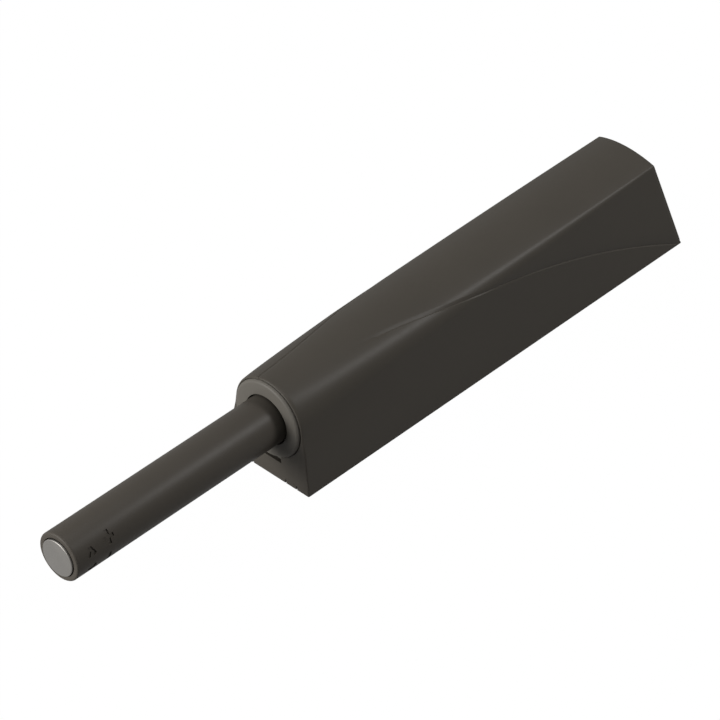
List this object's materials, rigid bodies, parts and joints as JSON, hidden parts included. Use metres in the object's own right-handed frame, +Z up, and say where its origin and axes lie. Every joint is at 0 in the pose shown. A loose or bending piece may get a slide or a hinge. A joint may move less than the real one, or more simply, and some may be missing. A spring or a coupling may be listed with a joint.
{
  "type": "touch latch",
  "caption": "Push-to-open touch latch with a magnetic plunger in a slim screw-on housing with an arched top and raked rear.",
  "frame": {"origin": "front lower edge of the housing on its centre line, on the mounting plane", "axes": "+X from the plunger tip towards the rear of the housing, along the plunger; +Y to the left looking along +X; +Z up, away from the mounting plane"},
  "size_m": [0.1218, 0.0156, 0.017],
  "materials": {
    "anthracite_plastic": "fine moulded satin",
    "magnet_grey": "satin nickel",
    "steel": "satin",
    "brass": "turned",
    "black_rubber": "matt",
    "natural_acetal": "satin"
  },
  "bodies": {
    "base": {"housing": "anthracite_plastic", "mounting_plate": "anthracite_plastic", "cartridge_sleeve": "anthracite_plastic", "guide_bush": "natural_acetal", "stop_ring": "black_rubber", "main_spring": "steel", "spring_guide": "steel", "end_cap": "anthracite_plastic", "buffer_pad": "black_rubber", "wire_clip": "steel"},
    "slider": {"carriage": "natural_acetal", "adjusting_spindle": "steel", "retaining_clip": "steel", "disc_spring": "steel"},
    "depth_ring": {"adjusting_ring": "natural_acetal"},
    "plunger": {"plunger_tube": "anthracite_plastic", "magnet": "magnet_grey", "magnet_back_plate": "steel", "thread_nut": "brass"},
    "wire": {"latch_wire": "steel"}
  },
  "joints": [
    {"name": "push_travel", "type": "slide", "parent": "base", "child": "slider", "axis": [1, 0, 0], "range_m": [0, 0.0383], "stiffness_N_per_m": 500, "springref_m": -0.006, "deforming": ["main_spring"]},
    {"name": "adjust_turn", "type": "hinge", "parent": "slider", "child": "depth_ring", "pos_m": [0.0129, 0, 0.01015], "axis": [1, 0, 0], "range_deg": [-720, 720]},
    {"name": "adjust_travel", "type": "slide", "parent": "depth_ring", "child": "plunger", "axis": [1, 0, 0], "range_m": [-0.002, 0.002]},
    {"name": "wire_swing", "type": "hinge", "parent": "base", "child": "wire", "pos_m": [0.07035, 0, 0.0065], "axis": [0, 0, -1], "range_deg": [0, 8]}
  ],
  "couplings": [
    {"joint": "adjust_turn", "follows": "adjust_travel", "rad_per_m": 6283.2}
  ]
}
